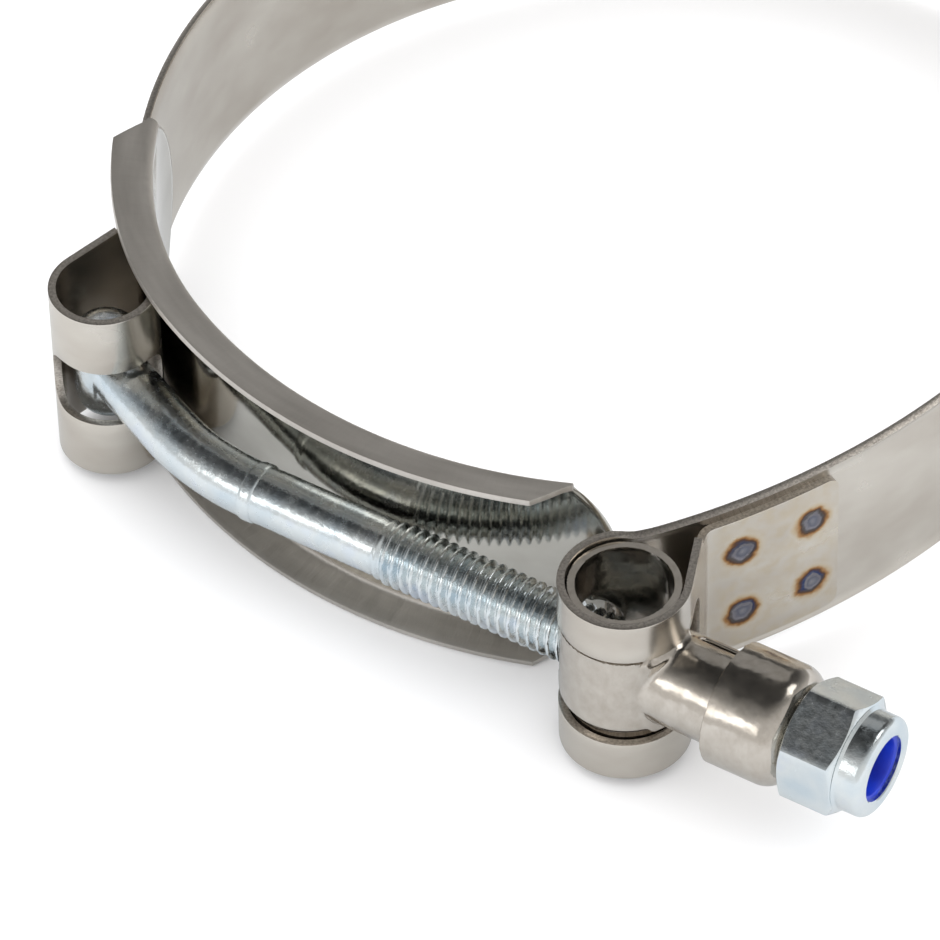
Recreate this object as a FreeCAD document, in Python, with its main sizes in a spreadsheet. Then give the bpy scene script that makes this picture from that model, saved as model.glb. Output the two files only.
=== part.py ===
import FreeCAD, Part
import math
import os

# T-bolt hose clamp, lying flat.
# The origin is the centre of the band's left arc, half way up the band.
# +Z runs along the hose, +X along the bolt towards its nut, and the gap is on the -Y side.

SIZES = [
    # the band, one strip with a folded loop at each end
    ("ring_radius", 44.8, "hose side of the band on its left, where it is round"),
    ("band_thickness", 0.7, "strip thickness"),
    ("band_width", 19.0, "full width of the strip at the loops"),
    ("ring_narrowing", 0.2, "how much each rolled edge draws the ring in"),
    ("lip_width", 1.35, "width of a rolled edge"),
    ("lip_rise", 0.35, "how far a rolled edge stands out"),
    ("shoulder_angle", 142.3, "where the left arc meets the far arc, from +X"),
    ("back_turn", 76.4, "left arc, as far as the left lead"),
    ("left_lead", 9.4, "straight run into the left loop"),
    ("far_easing", 22.2, "far arc, larger than the left arc by this"),
    ("far_turn", 27.4, "arc of the far side"),
    ("top_tightening", 11.7, "upper right arc, smaller than the left arc by this"),
    ("top_turn", 84.3, "arc of the upper right"),
    ("side_easing", 7.8, "right side arc, larger than the left arc by this"),
    ("side_turn", 27.9, "arc of the right side"),
    ("flat_easing", 27.7, "right front arc, larger than the left arc by this"),
    ("flat_turn", 40.0, "arc of the right front"),
    ("lead_bend_radius", 16.0, "bend before the right loop"),
    ("lead_bend_turn", 7.7, "turn of that bend"),
    ("right_lead", 2.5, "straight run into the right loop"),
    # the two loops and their tabs
    ("left_loop_radius", 4.2, "inside of the loop round the T-head"),
    ("left_loop_turn", 234.0, "arc of the left loop"),
    ("right_loop_radius", 5.15, "inside of the loop round the T-piece"),
    ("right_loop_turn", 247.0, "arc of the right loop"),
    ("tab_bend_radius", 1.3, "inside bend where a loop meets its tab"),
    ("tab_length", 12.6, "welded length of a tab"),
    ("tab_setback", 0.05, "tab edge to the foot of the rolled edge"),
    ("tab_corner", 1.2, "rounded corners of a tab"),
    ("left_slot_start", 15.0, "from the end of the left lead to its slot"),
    ("left_slot_turn", 165.0, "arc of the left slot"),
    ("left_slot_corner", 3.0, "corners of the left slot"),
    ("slot_clearance", 0.6, "room above and below the shank in the left slot"),
    ("right_slot_start", 4.0, "from the end of the right lead to its slot"),
    ("right_slot_strand", 4.2, "how far the right slot runs up the strand to the tab"),
    ("right_slot_corner", 2.5, "corners of the right slot"),
    ("neck_clearance", 0.95, "room above and below the neck in the right slot"),
    # the bridging tongue
    ("tongue_thickness", 0.6, "sheet of the tongue"),
    ("tongue_clearance", 0.15, "ring's edge to the flange of the tongue"),
    ("flange_reach", 3.2, "how far a flange stands out"),
    ("flange_flare", 0.5, "how far a flange leans outwards"),
    ("tongue_bend", 0.3, "leg of the bend inside a flange"),
    ("tongue_overlap_start", 155.5, "where the welded end of the flanges starts, clockwise from +X"),
    ("tongue_overlap", 12.5, "arc of tongue on the ring's hose side, welded to it"),
    ("tongue_step_radius", 33.5, "tighter arc that takes the tongue clear of the bolt"),
    ("tongue_step_turn", 25.0, "arc of that step"),
    ("tongue_radius", 46.0, "arc under the bolt"),
    ("tongue_turn", 52.776786, "arc under the bolt as far as the flange ends, as an angle on the left arc"),
    ("tip_rise", 4.0, "how far each rounded end stands past the flanges"),
    ("flange_slant", 45.0, "slant of the flange ends"),
    # the T-bolt
    ("head_radius", 3.1, "T-head"),
    ("head_setback", 4.5, "T-head end to band edge"),
    ("head_bevel", 0.8, "bevelled ends of the T-head"),
    ("shank_radius", 2.65, "plain shank, rolled to the pitch diameter"),
    ("thread_radius", 2.675, "pitch cylinder of the M6 thread"),
    ("head_leg", 9.9, "straight shank at the T-head"),
    ("shank_bend_radius", 27.0, "bend of the shank"),
    ("collar_radius", 2.8, "parting collar where the shank turns straight"),
    ("collar_width", 1.3, "parting collar"),
    ("thread_start", 13.0, "from the end of the bend to the first thread"),
    ("thread_chamfer", 0.6, "chamfer of the bolt's end"),
    # the T-piece
    ("sheet_thickness", 0.75, "sheet of the T-piece"),
    ("loop_clearance", 0.15, "T-piece barrel to its loop"),
    ("barrel_setback", 0.5, "barrel end to band edge"),
    ("saddle_height", 9.6, "height of the saddle, the part that bulges out through the loop's slot"),
    ("saddle_inset", 0.05, "saddle to the outside of the loop"),
    ("saddle_bevel", 0.6, "bevelled edges of the saddle"),
    ("saddle_reach", 2.0, "how far past the bolt's axis the saddle goes towards the hose"),
    ("neck_radius", 4.3, "outside of the neck"),
    ("neck_fillet", 1.3, "flow of the barrel into the neck"),
    ("bolt_hole_radius", 3.55, "bolt hole on the gap side"),
    ("seam_width", 0.9, "open seam along the neck"),
    ("seam_tilt", 32.0, "seam, from straight up towards the hose"),
    # the ferrule over the neck's end
    ("ferrule_start", 10.7, "from the barrel's axis to the ferrule's cut edge"),
    ("ferrule_length", 7.15, "length of the ferrule"),
    ("ferrule_radius", 5.6, "outside of the ferrule"),
    ("ferrule_wall", 0.5, "sheet of the ferrule"),
    ("neck_gap", 1.3, "neck's end to the inside of the ferrule"),
    ("dome_radius", 2.2, "rounded shoulder of the ferrule"),
    ("hollow_bevel", 1.1, "bevelled shoulder inside the ferrule"),
    ("ferrule_hole_radius", 3.75, "hole for the bolt"),
    # the lock nut
    ("nut_gap", 0.05, "ferrule to nut"),
    ("nut_flats", 10.0, "across the flats"),
    ("hex_height", 5.4, "hexagon"),
    ("nut_height", 7.9, "hexagon and collar"),
    ("nut_collar_radius", 4.65, "collar that holds the insert"),
    ("nut_collar_lip", 0.45, "collar edge turned in over the insert"),
    ("sight_radius", 3.05, "opening in that edge"),
    ("thread_fit", 0.05, "radial room of the nut on the bolt"),
    ("chamfer_slope", 25.0, "corner chamfer of the nut, in degrees"),
    # the nylon insert
    ("insert_height", 2.1, "insert"),
    ("insert_radius", 3.6, "insert, outside"),
    ("insert_bore_radius", 2.6, "insert, inside"),
    ("bolt_end_depth", 2.7, "bolt end inside the nut's outer face"),
]

TOP = FreeCAD.Vector(0, 0, 1)
LEVEL = FreeCAD.Rotation()
ALONG_BOLT = FreeCAD.Rotation(FreeCAD.Vector(0, 1, 0), 90)

doc = FreeCAD.newDocument("TBoltClamp")
sheet = doc.addObject("Spreadsheet::Sheet", "Sizes")
for row, (alias, value, note) in enumerate(SIZES, start=1):
    sheet.set("A%d" % row, note)
    sheet.set("B%d" % row, str(value))
    sheet.setAlias("B%d" % row, alias)
doc.recompute()


def size(alias):
    return float(sheet.get(alias))


def compass(angle, length=1.0):
    """a level vector at an angle from +X"""
    turn = math.radians(angle)
    return FreeCAD.Vector(length * math.cos(turn), length * math.sin(turn), 0)


class StripPath:
    """The hose side of a strip, seen from above, and the solids carried along it.

    side is +1 where the strip's outer face is on the right of the travel, -1 on the left.
    """

    def __init__(self, point, heading, side):
        self.point = point
        self.heading = heading
        self.side = side
        self.solids = []

    def outward(self):
        return compass(self.heading - 90 * self.side)

    def section(self, outline):
        """a closed face from (distance outwards, height) pairs"""
        out = self.outward()
        points = [self.point + out * n + TOP * z for n, z in outline]
        return Part.Wire(Part.makePolygon(points + points[:1]))

    def run(self, length, outline, end_outline=None):
        first = self.section(outline)
        self.point = self.point + compass(self.heading, length)
        last = self.section(end_outline or outline)
        self.solids.append(Part.makeLoft([first, last], True, True))

    def bend(self, radius, turn, outline):
        """turn is in degrees, to the left where it is positive; returns the centre"""
        centre = self.point + compass(self.heading + math.copysign(90, turn), radius)
        face = Part.Face(self.section(outline))
        self.solids.append(face.revolve(centre, TOP, turn))
        spin = FreeCAD.Rotation(TOP, turn)
        self.point = centre + spin.multVec(self.point - centre)
        self.heading += turn
        return centre


def run_to_circle(path, centre, radius, bend_radius):
    """length of the straight run, and turn of the bend, that bring a path onto a circle

    The path comes from outside the circle and leaves it on the bend's far side.
    """
    ahead = compass(path.heading)
    bend_side = path.outward() * -1.0
    start = path.point + bend_side * bend_radius - centre
    reach = radius + bend_radius
    along = start.dot(ahead)
    length = -along - math.sqrt(along * along - start.dot(start) + reach * reach)
    bend_centre = start + ahead * length
    away = math.degrees(math.atan2(bend_centre.y, bend_centre.x))
    end_heading = away - 90 * path.side
    turn = (end_heading - path.heading) * path.side % 360
    return length, turn * path.side


def strip_outline(half_width):
    """a plain strip as eight corners, so that it can blend into the lipped one"""
    foot = half_band - size("ring_narrowing") - size("lip_width")
    return [(0, -foot), (0, foot), (0, half_width), (wall, half_width),
            (wall, foot), (wall, -foot), (wall, -half_width), (0, -half_width)]


def lipped_outline():
    """the ring's section: flat in the middle, with both edges rolled outwards"""
    edge = half_band - size("ring_narrowing")
    foot = edge - size("lip_width")
    rise = size("lip_rise")
    return [(0, -foot), (0, foot), (rise, edge), (rise + wall, edge),
            (wall, foot), (wall, -foot), (rise + wall, -edge), (rise, -edge)]


def plain_outline(half_width, low, high):
    return [(low, -half_width), (low, half_width), (high, half_width), (high, -half_width)]


def joined(solids):
    """one solid from solids that meet face to face"""
    return solids[0].fuse(solids[1:]).removeSplitter()


def round_corners(shape, point, heading, half_height, radius):
    """round the corners at heights +-half_height of the end of a strip or cutter"""
    ahead = compass(heading)
    corners = []
    for edge in shape.Edges:
        middle = edge.CenterOfMass
        at_end = abs((middle - point).dot(ahead)) < 1e-4
        if at_end and abs(abs(middle.z) - half_height) < 1e-4:
            corners.append(edge)
    return shape.makeFillet(radius, corners)


def feature(label, shape):
    """a document object for a shape worked out from the sheet"""
    node = doc.addObject("Part::Feature", label)
    node.Label = label
    node.Shape = shape
    node.Placement = FreeCAD.Placement(FreeCAD.Vector(), LEVEL)
    return node


# The band: one strip whose two halves start where the left arc meets the far arc.
half_band = size("band_width") / 2
wall = size("band_thickness")
lipped = lipped_outline()
full = strip_outline(half_band)
tab_half = half_band - size("ring_narrowing") - size("lip_width") - size("tab_setback")
shoulder = compass(size("shoulder_angle"), size("ring_radius"))

left = StripPath(shoulder, size("shoulder_angle") + 90, 1)
left_centre = left.bend(size("ring_radius"), size("back_turn"), lipped)
left.run(size("left_lead"), lipped, full)

right = StripPath(shoulder, size("shoulder_angle") - 90, -1)
right.bend(size("ring_radius") + size("far_easing"), -size("far_turn"), lipped)
right.bend(size("ring_radius") - size("top_tightening"), -size("top_turn"), lipped)
right.bend(size("ring_radius") + size("side_easing"), -size("side_turn"), lipped)
flat_radius = size("ring_radius") + size("flat_easing")
right_centre = right.bend(flat_radius, -size("flat_turn"), lipped)
right.bend(size("lead_bend_radius"), -size("lead_bend_turn"), lipped)
right.run(size("right_lead"), lipped, full)


def slot_cutter(path, radius, start, turn, strand, half_height, corner):
    """what is cut from a loop: an arc, and a straight part up the strand if there is one"""
    outline = plain_outline(half_height, -wall, 2 * wall)
    sign = -path.side
    cutter = StripPath(path.point, path.heading, path.side)
    cutter.bend(radius, sign * start, outline)
    first_point = cutter.point
    first_heading = cutter.heading
    cutter.solids = []
    cutter.bend(radius, sign * turn, outline)
    if strand:
        cutter.run(strand, outline)
    solid = joined(cutter.solids) if strand else cutter.solids[0]
    solid = round_corners(solid, first_point, first_heading, half_height, corner)
    return round_corners(solid, cutter.point, cutter.heading, half_height, corner)


def add_tab(path, centre, ring_inside):
    """the strand from a loop back to the ring, and the tab welded on the ring's outer face

    Returns the notches that narrow the strip to the tab.
    """
    outline = plain_outline(tab_half, 0, wall)
    reach = ring_inside + 2 * wall
    length, turn = run_to_circle(path, centre, reach, size("tab_bend_radius"))
    path.run(length, full)
    out = path.outward()
    notches = []
    for z in (-half_band, half_band):
        foot = path.point - out * wall + TOP * z
        notches.append(Part.makeCylinder(half_band - tab_half, 3 * wall, foot, out))
    path.bend(size("tab_bend_radius"), turn, outline)
    path.bend(reach, -path.side * math.degrees(size("tab_length") / reach), outline)
    tab = path.solids.pop()
    path.solids.append(round_corners(tab, path.point, path.heading, tab_half, size("tab_corner")))
    return notches


left_half_slot = size("shank_radius") + size("slot_clearance")
left_radius = size("left_loop_radius") + wall
left_slot = slot_cutter(left, left_radius, size("left_slot_start"), size("left_slot_turn"), 0,
                        left_half_slot, size("left_slot_corner"))
left_loop = left.bend(left_radius, -size("left_loop_turn"), full)
left_notches = add_tab(left, left_centre, size("ring_radius"))

right_half_slot = size("neck_radius") + size("neck_clearance")
right_radius = size("right_loop_radius") + wall
right_slot_turn = size("right_loop_turn") - size("right_slot_start")
right_slot = slot_cutter(right, right_radius, size("right_slot_start"), right_slot_turn,
                         size("right_slot_strand"), right_half_slot, size("right_slot_corner"))
right_loop = right.bend(right_radius, size("right_loop_turn"), full)
right_notches = add_tab(right, right_centre, flat_radius)

strip = joined(left.solids + right.solids)
band = strip.cut([left_slot, right_slot] + left_notches + right_notches)
feature("band", band)

# The tongue: a channel that starts on the ring's hose side and bridges the gap under the bolt.
sheet_wall = size("tongue_thickness")
lean = math.atan2(size("flange_flare"), size("flange_reach"))
inner_root = half_band - size("ring_narrowing") + size("tongue_clearance")
outer_root = inner_root + sheet_wall * (math.cos(lean) - (1 - math.sin(lean)) * math.tan(lean))
flange_tip = (sheet_wall + size("flange_reach"), inner_root + size("flange_flare"))
flange_crest = (flange_tip[0] - sheet_wall * math.sin(lean), flange_tip[1] + sheet_wall * math.cos(lean))


def bevelled(before, corner, after, leg):
    """two points in place of a corner of an outline, leg away from it on either side"""
    corner = FreeCAD.Vector(*corner)
    to_before = (FreeCAD.Vector(*before) - corner).normalize()
    to_after = (FreeCAD.Vector(*after) - corner).normalize()
    return [(spot.x, spot.y) for spot in (corner + to_before * leg, corner + to_after * leg)]


inside_bend = size("tongue_bend")
outside_bend = inside_bend + sheet_wall / 2
root_inside = (sheet_wall, inner_root)
root_outside = (0, outer_root)
upper = bevelled((0, 0), root_outside, flange_crest, outside_bend) + [flange_crest, flange_tip]
upper += bevelled(flange_tip, root_inside, (sheet_wall, 0), inside_bend)
channel_outline = upper + [(n, -z) for n, z in reversed(upper)]
web_half = inner_root - inside_bend

tongue_inside = size("ring_radius") - sheet_wall
tongue_arcs = [
    (tongue_inside, size("tongue_overlap")),
    (size("tongue_step_radius"), size("tongue_step_turn")),
    (size("tongue_radius"), size("tongue_turn") * size("ring_radius") / size("tongue_radius")),
]
tongue_angle = -size("tongue_overlap_start")
channel = StripPath(compass(tongue_angle, tongue_inside), tongue_angle + 90, 1)
back_end = StripPath(channel.point, channel.heading + 180, -1)
for radius, turn in tongue_arcs:
    channel.bend(radius, turn, channel_outline)
front_end = StripPath(channel.point, channel.heading, 1)
trough = joined(channel.solids)


def slanted_end(path):
    """what the slant takes off the flanges beyond an end of the trough"""
    ahead = compass(path.heading)
    out = path.outward()
    reach = 4 * size("flange_reach")
    back = reach * math.tan(math.radians(size("flange_slant")))
    foot = path.point + out * sheet_wall - TOP * 2 * half_band
    corners = [foot, foot + out * reach - ahead * back, foot + out * reach + ahead * reach,
               foot + ahead * reach]
    face = Part.Face(Part.Wire(Part.makePolygon(corners + corners[:1])))
    return face.extrude(TOP * 4 * half_band)


def rounded_end(path):
    """what the arched tip takes off a plain web that reaches the tip"""
    ahead = compass(path.heading)
    out = path.outward()
    rise = size("tip_rise")
    margin = 2 * sheet_wall
    base = path.point - out * margin - ahead * rise
    shoulders = [base - TOP * web_half, base + TOP * web_half]
    crest = base + ahead * rise
    outer = [shoulders[1] + TOP * margin, shoulders[1] + TOP * margin + ahead * (rise + margin),
             shoulders[0] - TOP * margin + ahead * (rise + margin), shoulders[0] - TOP * margin]
    loop = Part.makePolygon([shoulders[1]] + outer + [shoulders[0]])
    arc = Part.Arc(shoulders[0], crest, shoulders[1]).toShape()
    face = Part.Face(Part.Wire(loop.Edges + [arc]))
    return face.extrude(out * 3 * margin)


web_outline = plain_outline(web_half, 0, sheet_wall)
tips = []
for path, radius in ((back_end, tongue_inside), (front_end, size("tongue_radius"))):
    trough = trough.cut(slanted_end(path))
    path.bend(radius, path.side * math.degrees(size("tip_rise") / radius), web_outline)
    tips.append(path.solids[0].cut(rounded_end(path)))
tongue = joined([trough] + tips)
feature("tongue", tongue)


def derived(alias, value):
    """a cell for a place that follows from the sizes"""
    row = len(SIZES) + 1 + len(derived_cells)
    derived_cells.append(alias)
    sheet.set("A%d" % row, "worked out along the band")
    sheet.set("B%d" % row, "%.9f" % value)
    sheet.setAlias("B%d" % row, alias)


def bound(kind, name, rotation=None, **formulas):
    """an object whose sizes, and whose place as at_x, at_y and at_z, follow the sheet"""
    node = doc.addObject(kind, name)
    if rotation is not None:
        node.Placement = FreeCAD.Placement(FreeCAD.Vector(), rotation)
    for cell, formula in formulas.items():
        target = cell.replace("at_", "Placement.Base.") if cell.startswith("at_") else cell
        node.setExpression(target, formula)
    return node


def fused(name, *parts):
    node = doc.addObject("Part::MultiFuse", name)
    node.Shapes = list(parts)
    node.Refine = True
    return node


def cut(name, base, tool):
    node = doc.addObject("Part::Cut", name)
    node.Base = base
    node.Tool = tool
    node.Refine = True
    return node


def shared(name, *parts):
    node = doc.addObject("Part::MultiCommon", name)
    node.Shapes = list(parts)
    return node


def eased(kind, name, base, radius, wanted):
    """a fillet or chamfer on the edges of base for which wanted(edge) is true"""
    doc.recompute()
    node = doc.addObject(kind, name)
    node.Base = base
    chosen = [index for index, edge in enumerate(base.Shape.Edges, start=1) if wanted(edge)]
    node.Edges = [(index, radius, radius) for index in chosen]
    return node


# Where the bolt lies: its straight part runs through the right loop's centre along +X.
derived_cells = []
drop = left_loop.y - right_loop.y
leg = size("head_leg")
bend_radius = size("shank_bend_radius")
bolt_turn = math.atan2(bend_radius, leg) + math.asin((drop - bend_radius) / math.hypot(leg, bend_radius))
straight_start = left_loop.x + leg * math.cos(bolt_turn) + bend_radius * math.sin(bolt_turn)
derived("left_x", left_loop.x)
derived("left_y", left_loop.y)
derived("right_x", right_loop.x)
derived("bolt_y", right_loop.y)
derived("bolt_turn", math.degrees(bolt_turn))
derived("bend_end", straight_start)
ferrule_face = right_loop.x + size("ferrule_start") + size("ferrule_length")
derived("nut_face", ferrule_face + size("nut_gap"))
nut_end = ferrule_face + size("nut_gap") + size("nut_height")
derived("nut_end", nut_end)
derived("bolt_end", nut_end - size("bolt_end_depth"))
doc.recompute()

# The T-bolt: an upright head, a bent shank, a parting collar and the thread's pitch cylinder.
head = bound("Part::Cylinder", "HeadBar", LEVEL, Radius="Sizes.head_radius",
             Height="Sizes.band_width - 2 * Sizes.head_setback",
             at_x="Sizes.left_x", at_y="Sizes.left_y", at_z="Sizes.head_setback - Sizes.band_width / 2")
head = eased("Part::Chamfer", "HeadEnds", head, size("head_bevel"),
             lambda edge: edge.Curve.TypeId == "Part::GeomCircle")
turned = FreeCAD.Rotation(TOP, -math.degrees(bolt_turn)).multiply(ALONG_BOLT)
shank_leg = bound("Part::Cylinder", "ShankLeg", turned, Radius="Sizes.shank_radius", Height="Sizes.head_leg",
                  at_x="Sizes.left_x", at_y="Sizes.left_y")
shank_bend = bound("Part::Torus", "ShankBend", FreeCAD.Rotation(TOP, -90 - math.degrees(bolt_turn)),
                   Radius1="Sizes.shank_bend_radius", Radius2="Sizes.shank_radius", Angle3="Sizes.bolt_turn",
                   at_x="Sizes.bend_end", at_y="Sizes.bolt_y + Sizes.shank_bend_radius")
collar = bound("Part::Cylinder", "PartingCollar", ALONG_BOLT, Radius="Sizes.collar_radius",
               Height="Sizes.collar_width", at_x="Sizes.bend_end - Sizes.collar_width / 2", at_y="Sizes.bolt_y")
plain = bound("Part::Cylinder", "PlainShank", ALONG_BOLT, Radius="Sizes.shank_radius",
              Height="Sizes.thread_start", at_x="Sizes.bend_end", at_y="Sizes.bolt_y")
thread = bound("Part::Cylinder", "ThreadCore", ALONG_BOLT, Radius="Sizes.thread_radius",
               Height="Sizes.bolt_end - Sizes.bend_end - Sizes.thread_start - Sizes.thread_chamfer",
               at_x="Sizes.bend_end + Sizes.thread_start", at_y="Sizes.bolt_y")
point = bound("Part::Cone", "ThreadEnd", ALONG_BOLT, Radius1="Sizes.thread_radius",
              Radius2="Sizes.thread_radius - Sizes.thread_chamfer", Height="Sizes.thread_chamfer",
              at_x="Sizes.bolt_end - Sizes.thread_chamfer", at_y="Sizes.bolt_y")
fused("t_bolt", head, shank_leg, shank_bend, collar, plain, thread, point)

# The T-piece: a barrel that turns in the right loop, and a neck that the bolt runs through.
barrel_height = "Sizes.band_width - 2 * Sizes.barrel_setback"
barrel_base = "Sizes.barrel_setback - Sizes.band_width / 2"
barrel_radius = "(Sizes.right_loop_radius - Sizes.loop_clearance)"
neck_length = "Sizes.ferrule_start + Sizes.ferrule_length - Sizes.ferrule_wall - Sizes.neck_gap"
barrel = bound("Part::Cylinder", "Barrel", LEVEL, Radius=barrel_radius, Height=barrel_height,
               at_x="Sizes.right_x", at_y="Sizes.bolt_y", at_z=barrel_base)
neck = bound("Part::Cylinder", "Neck", ALONG_BOLT, Radius="Sizes.neck_radius", Height=neck_length,
             at_x="Sizes.right_x", at_y="Sizes.bolt_y")
tee = fused("Tee", barrel, neck)


def on_both(edge):
    """true on the curves where the neck leaves the barrel"""
    reach = size("right_loop_radius") - size("loop_clearance")
    start, end = edge.ParameterRange
    for step in (0.25, 0.5, 0.75):
        spot = edge.valueAt(start + step * (end - start))
        from_barrel = math.hypot(spot.x - right_loop.x, spot.y - right_loop.y)
        from_neck = math.hypot(spot.y - right_loop.y, spot.z)
        if abs(from_barrel - reach) > 1e-3 or abs(from_neck - size("neck_radius")) > 1e-3:
            return False
    return True


tee = eased("Part::Fillet", "TeeFlow", tee, size("neck_fillet"), on_both)
saddle_radius = "(Sizes.right_loop_radius + Sizes.band_thickness - Sizes.saddle_inset)"
saddle = bound("Part::Cylinder", "Saddle", LEVEL, Radius=saddle_radius, Height="Sizes.saddle_height",
               at_x="Sizes.right_x", at_y="Sizes.bolt_y", at_z="-Sizes.saddle_height / 2")
saddle = eased("Part::Chamfer", "SaddleEdges", saddle, size("saddle_bevel"),
               lambda edge: edge.Curve.TypeId == "Part::GeomCircle")
saddle_hollow = bound("Part::Cylinder", "SaddleHollow", LEVEL, Radius=saddle_radius + " - Sizes.sheet_thickness",
                      Height="Sizes.saddle_height - 2 * Sizes.sheet_thickness", at_x="Sizes.right_x",
                      at_y="Sizes.bolt_y", at_z="Sizes.sheet_thickness - Sizes.saddle_height / 2")
front = bound("Part::Box", "SaddleFront", LEVEL, Length="4 * Sizes.right_loop_radius",
              Width="4 * Sizes.right_loop_radius", Height="Sizes.band_width",
              at_x="Sizes.right_x - 2 * Sizes.right_loop_radius",
              at_y="Sizes.bolt_y + Sizes.saddle_reach - 4 * Sizes.right_loop_radius",
              at_z="-Sizes.band_width / 2")
inner_front = bound("Part::Box", "HollowFront", LEVEL, Length="4 * Sizes.right_loop_radius",
                    Width="4 * Sizes.right_loop_radius", Height="Sizes.band_width",
                    at_x="Sizes.right_x - 2 * Sizes.right_loop_radius",
                    at_y="Sizes.bolt_y + Sizes.saddle_reach - Sizes.sheet_thickness - 4 * Sizes.right_loop_radius",
                    at_z="-Sizes.band_width / 2")
tee = fused("SaddledTee", tee, shared("FrontSaddle", saddle, front))
barrel_bore = bound("Part::Cylinder", "BarrelBore", LEVEL, Radius=barrel_radius + " - Sizes.sheet_thickness",
                    Height="Sizes.band_width", at_x="Sizes.right_x", at_y="Sizes.bolt_y",
                    at_z="-Sizes.band_width / 2")
neck_bore = bound("Part::Cylinder", "NeckBore", ALONG_BOLT, Radius="Sizes.neck_radius - Sizes.sheet_thickness",
                  Height="Sizes.ferrule_start + Sizes.ferrule_length", at_x="Sizes.right_x",
                  at_y="Sizes.bolt_y")
bolt_hole = bound("Part::Cylinder", "BoltHole", ALONG_BOLT, Radius="Sizes.bolt_hole_radius",
                  Height="2 * Sizes.right_loop_radius", at_x="Sizes.right_x - 2 * Sizes.right_loop_radius",
                  at_y="Sizes.bolt_y")
seam_turn = FreeCAD.Rotation(FreeCAD.Vector(1, 0, 0), -size("seam_tilt"))
seam = bound("Part::Box", "Seam", seam_turn, Length="Sizes.ferrule_start + Sizes.ferrule_length",
             Width="Sizes.seam_width", Height="2 * Sizes.neck_radius",
             at_x="Sizes.right_x + Sizes.right_loop_radius + Sizes.neck_fillet",
             at_y="Sizes.bolt_y - Sizes.seam_width / 2 * cos(Sizes.seam_tilt)",
             at_z="Sizes.seam_width / 2 * sin(Sizes.seam_tilt)")
hollow_front = shared("FrontHollow", saddle_hollow, inner_front)
cut("t_piece", tee, fused("TeeOpenings", barrel_bore, neck_bore, bolt_hole, seam, hollow_front))

# The ferrule: a cap with a rounded shoulder that slips over the neck's end.
cap = bound("Part::Cylinder", "CapOutside", ALONG_BOLT, Radius="Sizes.ferrule_radius",
            Height="Sizes.ferrule_length", at_x="Sizes.right_x + Sizes.ferrule_start", at_y="Sizes.bolt_y")
hollow = bound("Part::Cylinder", "CapInside", ALONG_BOLT, Radius="Sizes.ferrule_radius - Sizes.ferrule_wall",
               Height="Sizes.ferrule_length - Sizes.ferrule_wall", at_x="Sizes.right_x + Sizes.ferrule_start",
               at_y="Sizes.bolt_y")


def shoulder_at(x):
    return lambda edge: edge.Curve.TypeId == "Part::GeomCircle" and abs(edge.CenterOfMass.x - x) < 1e-3


cap = eased("Part::Fillet", "CapDome", cap, size("dome_radius"), shoulder_at(ferrule_face))
hollow = eased("Part::Chamfer", "CapHollow", hollow, size("hollow_bevel"),
               shoulder_at(ferrule_face - size("ferrule_wall")))
cap_hole = bound("Part::Cylinder", "CapHole", ALONG_BOLT, Radius="Sizes.ferrule_hole_radius",
                 Height="Sizes.ferrule_length + 1", at_x="Sizes.right_x + Sizes.ferrule_start",
                 at_y="Sizes.bolt_y")
cut("ferrule", cap, fused("CapOpenings", hollow, cap_hole))

# The lock nut: a chamfered hexagon with a round collar turned in over the insert.
hexagon = bound("Part::Prism", "Hexagon", ALONG_BOLT, Height="Sizes.hex_height",
                Circumradius="Sizes.nut_flats / 2 / cos(30)", at_x="Sizes.nut_face", at_y="Sizes.bolt_y")
hexagon.Polygon = 6
bevel = "(Sizes.nut_flats / 2 / cos(30) - Sizes.nut_flats / 2)"
slope = "tan(Sizes.chamfer_slope)"
corner_reach = "(Sizes.nut_flats / 2 + Sizes.hex_height / 2 / %s)" % slope
near = bound("Part::Cone", "NearChamfer", ALONG_BOLT, Radius1="Sizes.nut_flats / 2", Radius2=corner_reach,
             Height="Sizes.hex_height / 2", at_x="Sizes.nut_face", at_y="Sizes.bolt_y")
far = bound("Part::Cone", "FarChamfer", ALONG_BOLT, Radius1=corner_reach, Radius2="Sizes.nut_flats / 2",
            Height="Sizes.hex_height / 2", at_x="Sizes.nut_face + Sizes.hex_height / 2", at_y="Sizes.bolt_y")
chamfered = shared("ChamferedHexagon", hexagon, fused("Chamfers", near, far))
nut_collar = bound("Part::Cylinder", "NutCollar", ALONG_BOLT, Radius="Sizes.nut_collar_radius",
                   Height="Sizes.nut_height", at_x="Sizes.nut_face", at_y="Sizes.bolt_y")
nut_collar = eased("Part::Chamfer", "NutCollarEdge", nut_collar, size("nut_collar_lip"), shoulder_at(nut_end))
thread_bore = bound("Part::Cylinder", "NutThread", ALONG_BOLT, Radius="Sizes.thread_radius + Sizes.thread_fit",
                    Height="Sizes.nut_height", at_x="Sizes.nut_face", at_y="Sizes.bolt_y")
insert_x = "Sizes.nut_end - Sizes.nut_collar_lip - Sizes.insert_height"
pocket = bound("Part::Cylinder", "InsertPocket", ALONG_BOLT, Radius="Sizes.insert_radius",
               Height="Sizes.insert_height", at_x=insert_x, at_y="Sizes.bolt_y")
sight = bound("Part::Cylinder", "CollarOpening", ALONG_BOLT, Radius="Sizes.sight_radius",
              Height="2 * Sizes.nut_collar_lip", at_x="Sizes.nut_end - Sizes.nut_collar_lip",
              at_y="Sizes.bolt_y")
cut("lock_nut", fused("NutBlank", chamfered, nut_collar),
    fused("NutOpenings", thread_bore, pocket, sight))

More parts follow.
